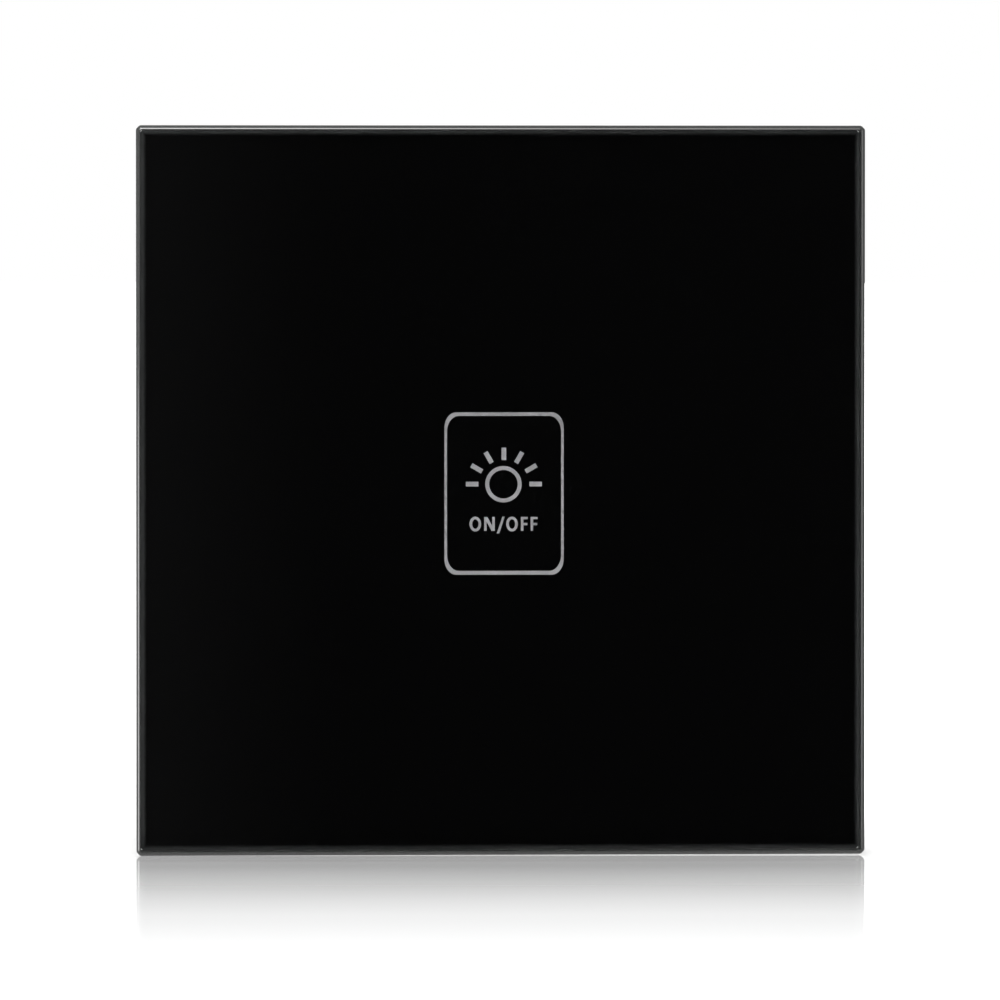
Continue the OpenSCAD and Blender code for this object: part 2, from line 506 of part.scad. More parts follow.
glass_panel();
ink_mask();
icon_print();
diffuser_film();
adhesive_frame();
panel_frame();
mounting_bracket();
retaining_clips();
rear_box();
front_cover();
housing_screws();
touch_board();
touch_board_screws();
touch_spring();
light_shroud();
indicator_leds();
led_lenses();
touch_chip();
chip_leads();
chip_parts();
chip_caps();
header_block();
header_pins();
header_socket();
power_board();
component_leads();
power_chip();
bridge_rectifier();
film_capacitor();
electrolytic_capacitors();
choke_core();
choke_winding();
varistor();
fuse();
relay_base();
relay_case();
relay_yoke();
relay_core();
relay_bobbin();
relay_coil();
relay_fixed_contacts();
relay_pins();
relay_armature();
relay_contact_spring();
terminal_blocks();
terminal_bars();
terminal_screw_live();
terminal_screw_neutral();
terminal_screw_load();
terminal_cage_live();
terminal_cage_neutral();
terminal_cage_load();
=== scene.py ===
"""Looks of the touch light switch: glass front, printed symbol, plated bracket, moulded rear box and boards.

Metres, row frame: +X right, +Z up, the glass faces -Y. Local sizes below are in millimetres as (u, v, w):
u right, v up, w out of the wall towards the room.
"""

import math

import bmesh
import bpy
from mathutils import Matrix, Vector


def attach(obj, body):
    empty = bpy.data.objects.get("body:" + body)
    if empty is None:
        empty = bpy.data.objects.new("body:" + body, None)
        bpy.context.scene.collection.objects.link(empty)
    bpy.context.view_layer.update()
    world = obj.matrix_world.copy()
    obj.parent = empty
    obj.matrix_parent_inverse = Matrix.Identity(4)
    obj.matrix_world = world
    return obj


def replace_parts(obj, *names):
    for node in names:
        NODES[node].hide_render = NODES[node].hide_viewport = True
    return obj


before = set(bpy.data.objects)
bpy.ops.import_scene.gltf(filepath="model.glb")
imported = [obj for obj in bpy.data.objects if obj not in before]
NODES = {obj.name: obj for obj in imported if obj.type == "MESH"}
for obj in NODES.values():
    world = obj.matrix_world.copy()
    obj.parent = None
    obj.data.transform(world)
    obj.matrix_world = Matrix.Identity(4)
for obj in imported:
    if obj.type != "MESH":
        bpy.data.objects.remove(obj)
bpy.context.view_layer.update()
SCENE = bpy.context.scene


def at(u, v, w):
    return Vector((u * 0.001, -w * 0.001, v * 0.001))


# ---------------------------------------------------------------- materials


class Finish:
    """A Principled material wired from object-space patterns (object space is in metres)."""

    def __init__(self, name, **sockets):
        self.mat = bpy.data.materials.new(name)
        self.mat.use_nodes = True
        self.tree = self.mat.node_tree
        self.bsdf = self.tree.nodes["Principled BSDF"]
        self.space = self.add("ShaderNodeTexCoord").outputs["Object"]
        for key, value in sockets.items():
            self.bsdf.inputs[key.replace("_", " ")].default_value = value

    def add(self, kind, **props):
        n = self.tree.nodes.new(kind)
        for k, v in props.items():
            setattr(n, k, v)
        return n

    def link(self, a, b):
        self.tree.links.new(a, b)
        return self

    def put(self, socket, value):
        if hasattr(value, "is_output"):
            self.link(value, socket)
        else:
            socket.default_value = value

    def scaled(self, x, y, z):
        n = self.add("ShaderNodeMapping")
        self.link(self.space, n.inputs["Vector"])
        n.inputs["Scale"].default_value = (x, y, z)
        return n.outputs["Vector"]

    def axes(self):
        n = self.add("ShaderNodeSeparateXYZ")
        self.link(self.space, n.inputs[0])
        return n.outputs["X"], n.outputs["Y"], n.outputs["Z"]

    def noise(self, scale, detail=3.0, rough=0.55, vec=None, warp=0.0):
        n = self.add("ShaderNodeTexNoise")
        self.link(vec or self.space, n.inputs["Vector"])
        n.inputs["Scale"].default_value = scale
        n.inputs["Detail"].default_value = detail
        n.inputs["Roughness"].default_value = rough
        n.inputs["Distortion"].default_value = warp
        return n.outputs["Fac"]

    def cells(self, scale, feature="F1", out="Distance", vec=None):
        n = self.add("ShaderNodeTexVoronoi", feature=feature)
        self.link(vec or self.space, n.inputs["Vector"])
        n.inputs["Scale"].default_value = scale
        return n.outputs[out]

    def waves(self, scale, axis, warp=0.0):
        n = self.add("ShaderNodeTexWave", wave_type="BANDS", bands_direction=axis)
        self.link(self.space, n.inputs["Vector"])
        n.inputs["Scale"].default_value = scale
        n.inputs["Distortion"].default_value = warp
        n.inputs["Detail"].default_value = 1.0
        return n.outputs["Fac"]

    def span(self, value, lo, hi, a, b):
        n = self.add("ShaderNodeMapRange")
        self.link(value, n.inputs["Value"])
        for k, x in (("From Min", lo), ("From Max", hi), ("To Min", a), ("To Max", b)):
            n.inputs[k].default_value = x
        return n.outputs["Result"]

    def calc(self, op, a, b=0.0):
        n = self.add("ShaderNodeMath", operation=op)
        self.put(n.inputs[0], a)
        self.put(n.inputs[1], b)
        return n.outputs[0]

    def blend(self, fac, a, b, mode="MIX"):
        n = self.add("ShaderNodeMix", data_type="RGBA", blend_type=mode)
        self.put(n.inputs["Factor"], fac)
        self.put(n.inputs[6], (*a, 1.0) if isinstance(a, tuple) else a)
        self.put(n.inputs[7], (*b, 1.0) if isinstance(b, tuple) else b)
        return n.outputs[2]

    def colour(self, socket):
        return self.link(socket, self.bsdf.inputs["Base Color"])

    def rough(self, socket):
        return self.link(socket, self.bsdf.inputs["Roughness"])

    def relief(self, height, strength, depth_mm):
        n = self.add("ShaderNodeBump")
        n.inputs["Strength"].default_value = strength
        n.inputs["Distance"].default_value = depth_mm * 0.001
        self.link(height, n.inputs["Height"])
        return self.link(n.outputs["Normal"], self.bsdf.inputs["Normal"])


def shade(c, k):
    return tuple(min(1.0, x * k) for x in c)


def moulded(name, c, rough, grain=5200, depth=0.012, strength=0.35, spread=0.06, warm=(1.0, 1.0, 1.0)):
    """Moulded plastic: spark-eroded grain, slow mottling and a little gloss variation."""
    f = Finish(name, Roughness=rough, IOR=1.52)
    slow = f.noise(70, 2.0)
    fine = f.noise(grain, 2.0, 0.6)
    body = f.blend(f.span(slow, 0.35, 0.65, 0.0, 1.0), shade(c, 1 - spread), tuple(min(1, a * b * (1 + spread)) for a, b in zip(c, warm)))
    f.colour(f.blend(f.span(fine, 0.3, 0.75, 0.0, 0.35), body, shade(c, 0.8)))
    f.rough(f.span(f.noise(420, 3.0), 0.3, 0.7, rough - 0.07, rough + 0.08))
    f.relief(fine, strength, depth)
    return f.mat


def metal(name, c, rough, stretch=(300, 300, 6000), dull=0.82, depth=0.004, strength=0.3, spots=0.0):
    """Metal with drawn or rolled streaks along one axis, and a dulled second tone."""
    f = Finish(name, Metallic=1.0, Roughness=rough)
    streak = f.noise(1.0, 4.0, 0.6, f.scaled(*stretch))
    patch = f.noise(150, 3.0, 0.6)
    tone = f.blend(f.span(patch, 0.3, 0.7, 0.0, 1.0), shade(c, dull), c)
    if spots:
        speck = f.span(f.noise(2600, 2.0, 0.7), 0.66, 0.74, 0.0, spots)
        tone = f.blend(speck, tone, shade(c, 0.45))
    f.colour(f.blend(f.span(streak, 0.35, 0.7, 0.0, 0.4), tone, shade(c, dull * 0.85)))
    f.rough(f.span(f.noise(800, 3.0), 0.3, 0.7, max(0.05, rough - 0.08), rough + 0.12))
    f.relief(streak, strength, depth)
    return f.mat


def clear_glass():
    f = Finish("clear_glass", Transmission_Weight=1.0, IOR=1.5)
    wipe = f.noise(1.0, 3.0, 0.6, f.scaled(26, 26, 90), 0.6)
    f.colour(f.blend(f.span(f.noise(40, 2.0), 0.3, 0.7, 0.0, 1.0), (0.965, 0.99, 0.975), (0.975, 0.995, 0.985)))
    f.rough(f.span(wipe, 0.4, 0.75, 0.0, 0.012))
    return f.mat


def edge_glass():
    """Polished sides of the sheet, where the long way through the glass turns it slightly green."""
    f = Finish("edge_glass", Transmission_Weight=1.0, IOR=1.5)
    f.colour(f.blend(f.span(f.noise(60, 2.0), 0.3, 0.7, 0.0, 1.0), (0.83, 0.935, 0.885), (0.86, 0.95, 0.91)))
    f.rough(f.span(f.noise(1.0, 3.0, 0.6, f.scaled(90, 1400, 90)), 0.4, 0.75, 0.0, 0.03))
    return f.mat


def ground_glass():
    """Ground edge of the glass: fine wheel marks, half matt."""
    f = Finish("ground_glass", IOR=1.5, Specular_IOR_Level=0.3)
    grit = f.noise(5200, 3.0, 0.7)
    band = f.noise(420, 2.0)
    f.colour(f.blend(f.span(grit, 0.3, 0.75, 0.0, 1.0), (0.028, 0.029, 0.0285), (0.046, 0.047, 0.0465)))
    f.rough(f.span(band, 0.3, 0.7, 0.5, 0.65))
    f.relief(grit, 0.3, 0.006)
    return f.mat


def honed_glass():
    """Inner turn of the ground edge, rubbed nearly smooth so that it carries a thin line of light."""
    f = Finish("honed_glass", IOR=1.75)
    grit = f.noise(6400, 3.0, 0.7)
    f.colour(f.blend(f.span(grit, 0.3, 0.75, 0.0, 1.0), (0.024, 0.025, 0.024), (0.036, 0.037, 0.036)))
    f.rough(f.span(f.noise(700, 3.0), 0.3, 0.7, 0.07, 0.14))
    f.relief(grit, 0.12, 0.004)
    return f.mat


def black_ink():
    """Screen-printed black behind the glass, thinning to a dark grey border along the edge of the sheet; that border
    carries painted light and shade, lighter on the left and darker along the bottom.
    """
    f = Finish("black_ink", Roughness=0.6, Specular_IOR_Level=0.0)
    x, _, z = f.axes()
    edge = f.calc("MAXIMUM", f.calc("ABSOLUTE", f.calc("ADD", x, -0.000085)), f.calc("ABSOLUTE", z))
    ragged = f.calc("ADD", edge, f.span(f.noise(2600, 2.0), 0.3, 0.7, -0.00003, 0.00003))
    thin = f.calc("POWER", f.span(ragged, 0.04176, 0.04221, 0.0, 1.0), 2.0)
    body = f.blend(f.span(f.noise(900, 3.0), 0.35, 0.7, 0.0, 1.0), (0.0008, 0.0008, 0.0009), (0.0016, 0.0016, 0.0017))
    # painted light and shade on the border: its grey is lighter on the left, fades darker to the right, and is darker
    # along the bottom edge
    rim_painted_shading = f.blend(f.span(x, -0.04, 0.04, 0.0, 1.0), (0.057, 0.057, 0.058), (0.048, 0.048, 0.049))
    rim_painted_shading = f.blend(f.span(z, -0.0420, -0.0400, 1.0, 0.0), rim_painted_shading, (0.029, 0.029, 0.030))
    # the dry side of the print, seen only with the panel off, is a chalky black with faint squeegee streaks
    turned = f.add("ShaderNodeSeparateXYZ")
    f.link(f.add("ShaderNodeTexCoord").outputs["Normal"], turned.inputs[0])
    streak = f.noise(1.0, 3.0, 0.6, f.scaled(420, 420, 24))
    dry = f.blend(f.span(streak, 0.35, 0.7, 0.0, 1.0), (0.046, 0.046, 0.048), (0.070, 0.070, 0.073))
    f.colour(f.blend(f.span(turned.outputs["Y"], 0.3, 0.7, 0.0, 1.0), f.blend(thin, body, rim_painted_shading), dry))
    f.rough(f.span(f.noise(1500, 2.0), 0.3, 0.7, 0.52, 0.66))
    return f.mat


def grey_ink():
    f = Finish("grey_ink", Roughness=0.6, Specular_IOR_Level=0.0)
    grain = f.noise(7000, 3.0, 0.7)
    slow = f.noise(300, 2.0)
    tone = f.blend(f.span(slow, 0.3, 0.7, 0.0, 1.0), (0.530, 0.513, 0.539), (0.576, 0.557, 0.585))
    laid = f.blend(f.span(grain, 0.3, 0.75, 0.0, 0.3), tone, (0.459, 0.444, 0.466))
    # the print is darker along the top of the field
    f.colour(f.blend(f.span(f.axes()[2], 0.0060, 0.0092, 0.0, 0.3), laid, (0.400, 0.388, 0.407)))
    f.rough(f.span(grain, 0.3, 0.7, 0.52, 0.66))
    return f.mat


def foam_tape():
    f = Finish("black_tape", Roughness=0.85)
    pores = f.cells(5200)
    f.colour(f.blend(f.span(pores, 0.1, 0.6, 0.0, 1.0), (0.012, 0.012, 0.013), (0.032, 0.032, 0.034)))
    f.rough(f.span(f.noise(900), 0.3, 0.7, 0.78, 0.92))
    f.relief(pores, 0.6, 0.05)
    return f.mat


def white_film():
    f = Finish("white_film", Roughness=0.45, IOR=1.5)
    fine = f.noise(8000, 2.0)
    f.colour(f.blend(f.span(f.noise(120, 2.0), 0.3, 0.7, 0.0, 1.0), (0.80, 0.80, 0.78), (0.86, 0.86, 0.85)))
    f.rough(f.span(fine, 0.3, 0.7, 0.4, 0.55))
    f.relief(fine, 0.2, 0.005)
    return f.mat


def zinc():
    """Blue-bright zinc on pressed steel: soft crystal patches under rolling streaks."""
    f = Finish("zinc_steel", Metallic=1.0, Roughness=0.34)
    crystal = f.cells(520, "F1", "Color")
    grey = f.add("ShaderNodeRGBToBW")
    f.link(crystal, grey.inputs[0])
    roll = f.noise(1.0, 4.0, 0.6, f.scaled(160, 160, 5200))
    cloud = f.noise(110, 3.0, 0.6)
    tone = f.blend(f.span(grey.outputs[0], 0.2, 0.8, 0.0, 0.45), (0.66, 0.675, 0.69), (0.54, 0.555, 0.575))
    tone = f.blend(f.span(cloud, 0.45, 0.75, 0.0, 0.5), tone, (0.50, 0.505, 0.50))
    f.colour(f.blend(f.span(roll, 0.4, 0.75, 0.0, 0.3), tone, (0.44, 0.45, 0.465)))
    f.rough(f.calc("ADD", f.span(roll, 0.3, 0.7, 0.26, 0.40), f.span(grey.outputs[0], 0.2, 0.8, 0.0, 0.08)))
    f.relief(roll, 0.25, 0.006)
    return f.mat


def circuit_green(name="green_board", dark=(0.006, 0.050, 0.020), light=(0.010, 0.075, 0.030)):
    """Solder mask over glass cloth: faint crossed weave under a glossy green coat."""
    f = Finish(name, Roughness=0.28, IOR=1.5)
    weave = f.calc("MULTIPLY", f.waves(420, "X", 0.6), f.waves(420, "Z", 0.6))
    cloud = f.noise(130, 2.0)
    tone = f.blend(f.span(cloud, 0.35, 0.65, 0.0, 1.0), dark, light)
    f.colour(f.blend(f.span(weave, 0.0, 1.0, 0.0, 0.35), tone, shade(light, 1.35)))
    f.rough(f.span(f.noise(1800), 0.3, 0.7, 0.2, 0.36))
    f.relief(weave, 0.12, 0.01)
    return f.mat


def printed(name, c, rough=0.55):
    f = Finish(name, Roughness=rough)
    grain = f.noise(9000, 2.0, 0.7)
    f.colour(f.blend(f.span(grain, 0.3, 0.75, 0.0, 1.0), c, shade(c, 0.82)))
    f.rough(f.span(grain, 0.3, 0.7, rough - 0.08, rough + 0.08))
    f.relief(grain, 0.3, 0.005)
    return f.mat


def solder(name="tin", c=(0.62, 0.62, 0.60)):
    f = Finish(name, Metallic=1.0, Roughness=0.3)
    skin = f.noise(3000, 3.0, 0.65)
    f.colour(f.blend(f.span(skin, 0.35, 0.7, 0.0, 1.0), c, shade(c, 0.72)))
    f.rough(f.span(skin, 0.3, 0.7, 0.22, 0.42))
    f.relief(skin, 0.25, 0.006)
    return f.mat


def chip_bodies():
    """Small ceramic parts: each body is either a black resistor or a tan capacitor."""
    f = Finish("white_part_chips", Roughness=0.5)
    each = f.add("ShaderNodeNewGeometry").outputs["Random Per Island"]
    grain = f.noise(6000, 2.0)
    pick = f.calc("GREATER_THAN", each, 0.55)
    tan = f.blend(f.span(grain, 0.3, 0.7, 0.0, 1.0), (0.24, 0.15, 0.075), (0.30, 0.19, 0.10))
    black = f.blend(f.span(grain, 0.3, 0.7, 0.0, 1.0), (0.012, 0.012, 0.013), (0.024, 0.024, 0.026))
    f.colour(f.blend(pick, black, tan))
    f.rough(f.span(grain, 0.3, 0.7, 0.4, 0.58))
    f.relief(grain, 0.2, 0.008)
    return f.mat


def lens_resin():
    f = Finish("lamp_lens", Roughness=0.22, IOR=1.45, Subsurface_Weight=0.25, Subsurface_Scale=0.0004)
    grain = f.noise(2600, 3.0)
    f.colour(f.blend(f.span(grain, 0.3, 0.7, 0.0, 1.0), (0.78, 0.66, 0.22), (0.86, 0.76, 0.34)))
    f.rough(f.span(grain, 0.3, 0.7, 0.16, 0.3))
    return f.mat


def windings(name="copper_wire", axis="Y", pitch=0.00026):
    """Enamelled copper wound in layers; the turns also show in the mesh."""
    f = Finish(name, Metallic=1.0, Roughness=0.32)
    turn = f.noise(1.0, 3.0, 0.5, f.scaled(500, 9000, 500))
    f.colour(f.blend(f.span(turn, 0.3, 0.7, 0.0, 1.0), (0.46, 0.17, 0.07), (0.66, 0.28, 0.13)))
    f.rough(f.span(f.noise(900), 0.3, 0.7, 0.24, 0.42))
    f.relief(turn, 0.3, 0.02)
    return f.mat


def ceramic_coat(name, c, rough=0.3):
    f = Finish(name, Roughness=rough, IOR=1.52)
    drip = f.noise(260, 3.0, 0.5, warp=0.8)
    fine = f.noise(2400, 2.0)
    f.colour(f.blend(f.span(drip, 0.3, 0.7, 0.0, 1.0), shade(c, 0.82), shade(c, 1.15)))
    f.rough(f.span(fine, 0.3, 0.7, rough - 0.08, rough + 0.12))
    f.relief(drip, 0.35, 0.06)
    return f.mat


M = {
    "clear_glass": clear_glass(),
    "edge_glass": edge_glass(),
    "ground_glass": ground_glass(),
    "honed_glass": honed_glass(),
    "black_ink": black_ink(),
    "grey_ink": grey_ink(),
    "white_film": white_film(),
    "black_tape": foam_tape(),
    "black_plastic": moulded("black_plastic", (0.016, 0.016, 0.017), 0.46, 4200, 0.02, 0.4),
    "cover_plastic": moulded("cover_plastic", (0.030, 0.030, 0.032), 0.5, 3600, 0.025, 0.45),
    "zinc_steel": zinc(),
    "spring_steel": metal("spring_steel", (0.42, 0.43, 0.45), 0.3, (5200, 260, 260), 0.8, 0.004, 0.3, 0.3),
    "white_plastic": moulded("white_plastic", (0.66, 0.655, 0.63), 0.44, 3800, 0.02, 0.35, 0.025, (1.0, 0.995, 0.98)),
    "plated_screw": metal("plated_screw", (0.66, 0.655, 0.63), 0.27, (700, 4200, 700), 0.86, 0.004, 0.25, 0.25),
    "green_board": circuit_green(),
    "trace_green": circuit_green("trace_green", (0.012, 0.105, 0.040), (0.016, 0.135, 0.052)),
    "silk_white": printed("silk_white", (0.72, 0.72, 0.70)),
    "mark_grey": printed("mark_grey", (0.085, 0.087, 0.09)),
    "spring_bronze": metal("spring_bronze", (0.80, 0.56, 0.26), 0.24, (900, 900, 900), 0.85, 0.003, 0.2),
    "white_part": moulded("white_part", (0.80, 0.80, 0.79), 0.4, 5200, 0.01, 0.25, 0.02),
    "chip_bodies": chip_bodies(),
    "lamp_lens": lens_resin(),
    "chip_black": moulded("chip_black", (0.018, 0.018, 0.019), 0.55, 6500, 0.015, 0.5, 0.1),
    "tin": solder(),
    "solder": solder("solder", (0.70, 0.70, 0.69)),
    "header_black": moulded("header_black", (0.015, 0.015, 0.016), 0.38, 5200, 0.01, 0.3),
    "gold_pin": metal("gold_pin", (0.84, 0.62, 0.24), 0.22, (500, 5200, 500), 0.88, 0.003, 0.2),
    "yellow_case": moulded("yellow_case", (0.62, 0.40, 0.035), 0.36, 4200, 0.012, 0.3, 0.05),
    "sleeve": moulded("sleeve", (0.016, 0.017, 0.040), 0.3, 2600, 0.01, 0.2, 0.1),
    "ferrite": moulded("ferrite", (0.038, 0.038, 0.040), 0.6, 3000, 0.04, 0.6, 0.12),
    "copper_wire": windings(),
    "blue_coat": ceramic_coat("blue_coat", (0.018, 0.070, 0.30), 0.28),
    "brown_case": moulded("brown_case", (0.055, 0.022, 0.012), 0.34, 4600, 0.012, 0.3, 0.08),
    "blue_case": moulded("blue_case", (0.014, 0.075, 0.30), 0.36, 4200, 0.014, 0.3, 0.05),
    "soft_iron": metal("soft_iron", (0.46, 0.46, 0.465), 0.38, (400, 400, 5200), 0.8, 0.005, 0.3, 0.35),
    "bobbin_plastic": moulded("bobbin_plastic", (0.62, 0.57, 0.46), 0.45, 4600, 0.012, 0.3, 0.04),
    "contact_bronze": metal("contact_bronze", (0.74, 0.48, 0.22), 0.28, (420, 420, 5200), 0.85, 0.004, 0.25),
    "grey_plastic": moulded("grey_plastic", (0.085, 0.095, 0.10), 0.46, 4000, 0.02, 0.4, 0.06),
    "terminal_steel": metal("terminal_steel", (0.64, 0.625, 0.57), 0.27, (500, 500, 4600), 0.85, 0.005, 0.3, 0.3),
}

WEARS = {
    "ink_mask": "black_ink", "icon_print": "grey_ink", "diffuser_film": "white_film", "adhesive_frame": "black_tape",
    "panel_frame": "black_plastic", "mounting_bracket": "zinc_steel", "retaining_clips": "spring_steel",
    "rear_box": "white_plastic", "front_cover": "cover_plastic", "housing_screws": "plated_screw",
    "touch_board": "green_board", "touch_board_screws": "plated_screw", "light_shroud": "white_part",
    "indicator_leds": "white_part", "led_lenses": "lamp_lens", "touch_chip": "chip_black", "chip_leads": "tin",
    "chip_parts": "chip_bodies", "chip_caps": "tin", "header_block": "header_black", "header_pins": "gold_pin",
    "header_socket": "header_black", "power_board": "green_board", "component_leads": "tin", "power_chip": "chip_black",
    "bridge_rectifier": "chip_black", "film_capacitor": "yellow_case", "electrolytic_capacitors": "sleeve",
    "choke_core": "ferrite", "varistor": "blue_coat", "fuse": "brown_case", "relay_base": "header_black",
    "relay_case": "blue_case", "relay_yoke": "soft_iron", "relay_core": "soft_iron", "relay_bobbin": "bobbin_plastic",
    "relay_fixed_contacts": "contact_bronze", "relay_pins": "tin", "relay_armature": "soft_iron",
    "relay_contact_spring": "contact_bronze", "terminal_blocks": "grey_plastic", "terminal_bars": "contact_bronze",
    "terminal_screw_live": "terminal_steel", "terminal_screw_neutral": "terminal_steel",
    "terminal_screw_load": "terminal_steel", "terminal_cage_live": "terminal_steel",
    "terminal_cage_neutral": "terminal_steel", "terminal_cage_load": "terminal_steel",
}

# broken edges on the moulded and pressed pieces, in millimetres
SOFT_EDGE = {
    "panel_frame": 0.12, "mounting_bracket": 0.09, "retaining_clips": 0.05, "rear_box": 0.14, "front_cover": 0.12,
    "housing_screws": 0.06, "touch_board_screws": 0.05, "light_shroud": 0.1, "indicator_leds": 0.04,
    "touch_chip": 0.05, "power_chip": 0.05, "bridge_rectifier": 0.05, "chip_parts": 0.03, "chip_caps": 0.03,
    "header_block": 0.08, "header_socket": 0.08, "film_capacitor": 0.22, "relay_case": 0.14, "relay_base": 0.08,
    "relay_yoke": 0.1, "relay_armature": 0.1, "terminal_blocks": 0.1, "terminal_bars": 0.08,
    "terminal_screw_live": 0.05, "terminal_screw_neutral": 0.05, "terminal_screw_load": 0.05,
    "terminal_cage_live": 0.08, "terminal_cage_neutral": 0.08, "terminal_cage_load": 0.08,
    "touch_board": 0.05, "power_board": 0.05, "choke_core": 0.12,
}

for name, key in WEARS.items():
    o = NODES[name]
    for s in o.material_slots:
        s.material = M[key]

for name, mm in SOFT_EDGE.items():
    o = NODES[name]
    if "custom_normal" in o.data.attributes:
        o.data.attributes.remove(o.data.attributes["custom_normal"])
    o.data.polygons.foreach_set("use_smooth", [True] * len(o.data.polygons))
    weld = o.modifiers.new("weld", "WELD")
    weld.merge_threshold = 1e-6
    flat = o.modifiers.new("flat", "DECIMATE")
    flat.decimate_type = "DISSOLVE"
    flat.angle_limit = math.radians(0.4)
    soft = o.modifiers.new("soft", "BEVEL")
    soft.width = mm * 0.001
    soft.segments = 2
    soft.limit_method = "ANGLE"
    soft.angle_limit = math.radians(32)
    soft.use_clamp_overlap = False
    soft.loop_slide = True
    even = o.modifiers.new("even", "WEIGHTED_NORMAL")
    even.keep_sharp = True
    even.weight = 80


# ---------------------------------------------------------------- mesh tools


def piece(name, bm, body, mats, sharp=30.0):
    bmesh.ops.recalc_face_normals(bm, faces=bm.faces)
    mesh = bpy.data.meshes.new(name)
    bm.to_mesh(mesh)
    bm.free()
    mesh.polygons.foreach_set("use_smooth", [True] * len(mesh.polygons))
    mesh.set_sharp_from_angle(angle=math.radians(sharp))
    o = bpy.data.objects.new(name, mesh)
    SCENE.collection.objects.link(o)
    for m in mats if isinstance(mats, list) else [mats]:
        mesh.materials.append(m)
    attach(o, body)
    return o


def rounded(w, h, r, n=8):
    """Outline of a rounded rectangle, anticlockwise, as (u, v)."""
    pts = []
    for cx, cy, a0 in ((1, 1, 0), (-1, 1, 90), (-1, -1, 180), (1, -1, 270)):
        for i in range(n + 1):
            a = math.radians(a0 + 90 * i / n)
            pts.append((cx * (w / 2 - r) + r * math.cos(a), cy * (h / 2 - r) + r * math.sin(a)))
    return pts


def loft(bm, rings, mats=None):
    """Joins rings of equal point count with quads and closes both ends. Returns the rings' vertices."""
    rows = [[bm.verts.new(p) for p in ring] for ring in rings]
    k = len(rows[0])
    for i in range(len(rows) - 1):
        for j in range(k):
            q = (j + 1) % k
            f = bm.faces.new((rows[i][j], rows[i][q], rows[i + 1][q], rows[i + 1][j]))
            if mats:
                f.material_index = mats[i]
    bm.faces.new(list(reversed(rows[0])))
    bm.faces.new(rows[-1])
    return rows


def lathe(bm, profile, place, n=48):
    """Closed solid of revolution. profile holds (radius, height) from axis to axis; place(x, y, z) sets it down."""
    rows = []
    for r, z in profile:
        if r < 1e-9:
            rows.append([bm.verts.new(place(0, 0, z))])
        else:
            rows.append([bm.verts.new(place(r * math.cos(2 * math.pi * j / n), r * math.sin(2 * math.pi * j / n), z)) for j in range(n)])
    for a, b in zip(rows, rows[1:]):
        for j in range(n):
            q = (j + 1) % n
            if len(a) == 1 and len(b) == 1:
                continue
            if len(a) == 1:
                bm.faces.new((a[0], b[j], b[q]))
            elif len(b) == 1:
                bm.faces.new((a[j], b[0], a[q]))
            else:
                bm.faces.new((a[j], b[j], b[q], a[q]))
    return rows


def ring_lathe(bm, profile, place, n=64):
    """Closed ring of revolution: profile is a closed loop of (radius, height)."""
    rows = [[bm.verts.new(place(r * math.cos(2 * math.pi * j / n), r * math.sin(2 * math.pi * j / n), z)) for j in range(n)] for r, z in profile]
    for i in range(len(rows)):
        a, b = rows[i], rows[(i + 1) % len(rows)]
        for j in range(n):
            q = (j + 1) % n
            bm.faces.new((a[j], b[j], b[q], a[q]))


def strip(bm, path, width, lo, hi, place, closed=False, draft=0.0):
    """Raised ribbon along a path of (x, y): a closed prism with mitred bends, its top narrower by draft."""
    n = len(path)
    left, right = [], []
    for i, p in enumerate(path):
        a = path[i - 1] if i or closed else None
        b = path[(i + 1) % n] if i < n - 1 or closed else None
        d0 = (Vector(p) - Vector(a)).normalized() if a is not None else None
        d1 = (Vector(b) - Vector(p)).normalized() if b is not None else None
        d0, d1 = d0 or d1, d1 or d0
        t = (d0 + d1).normalized()
        nrm = Vector((-t.y, t.x))
        k = 1 / max(0.35, nrm.dot(Vector((-d0.y, d0.x))))
        left.append((Vector(p), nrm * k))
        right.append((Vector(p), nrm * -k))
    rows = []
    for (p, nl), (_, nr) in zip(left, right):
        w0, w1 = width / 2, width / 2 - draft
        rows.append([bm.verts.new(place(*(p + nl * w0), lo)), bm.verts.new(place(*(p + nl * w1), hi)),
                     bm.verts.new(place(*(p + nr * w1), hi)), bm.verts.new(place(*(p + nr * w0), lo))])
    last = n if closed else n - 1
    for i in range(last):
        a, b = rows[i], rows[(i + 1) % n]
        for j in range(4):
            q = (j + 1) % 4
            bm.faces.new((a[j], b[j], b[q], a[q]))
    if not closed:
        bm.faces.new(rows[0])
        bm.faces.new(list(reversed(rows[-1])))


def tile(bm, outline, lo, hi, place, draft=0.0):
    """Raised flat shape with the given outline."""
    c = Vector((sum(p[0] for p in outline), sum(p[1] for p in outline))) / len(outline)
    top = []
    for p in outline:
        d = Vector(p) - c
        top.append(Vector(p) - d.normalized() * draft)
    loft(bm, [[place(p[0], p[1], lo) for p in outline], [place(p[0], p[1], hi) for p in top]])


def circle(x, y, r, n=24):
    return [(x + r * math.cos(2 * math.pi * i / n), y + r * math.sin(2 * math.pi * i / n)) for i in range(n)]


# ---------------------------------------------------------------- front glass

GLASS_BACK, GLASS_FRONT = 7.48, 11.5
SIDE = 86.0


def clipped(side, leg, n=4):
    """Outline of a square with its corners clipped at 45 degrees and the ends of each clip eased."""
    pts = []
    h, ease = side / 2, leg * 0.4
    for k in range(4):
        c, s = (1, 0, -1, 0)[k], (0, 1, 0, -1)[k]
        corner = []
        for end, before, after in (((h, h - leg), (0.0, -1.0), (-0.7071, 0.7071)), ((h - leg, h), (0.7071, -0.7071), (-1.0, 0.0))):
            p, a, b = Vector(end), Vector(before), Vector(after)
            for i in range(n + 1):
                t = i / n
                corner.append((p + a * ease) * (1 - t) ** 2 + p * (2 * t * (1 - t)) + (p + b * ease) * t * t)
        pts += [(c * q.x - s * q.y, s * q.x + c * q.y) for q in corner]
    return pts


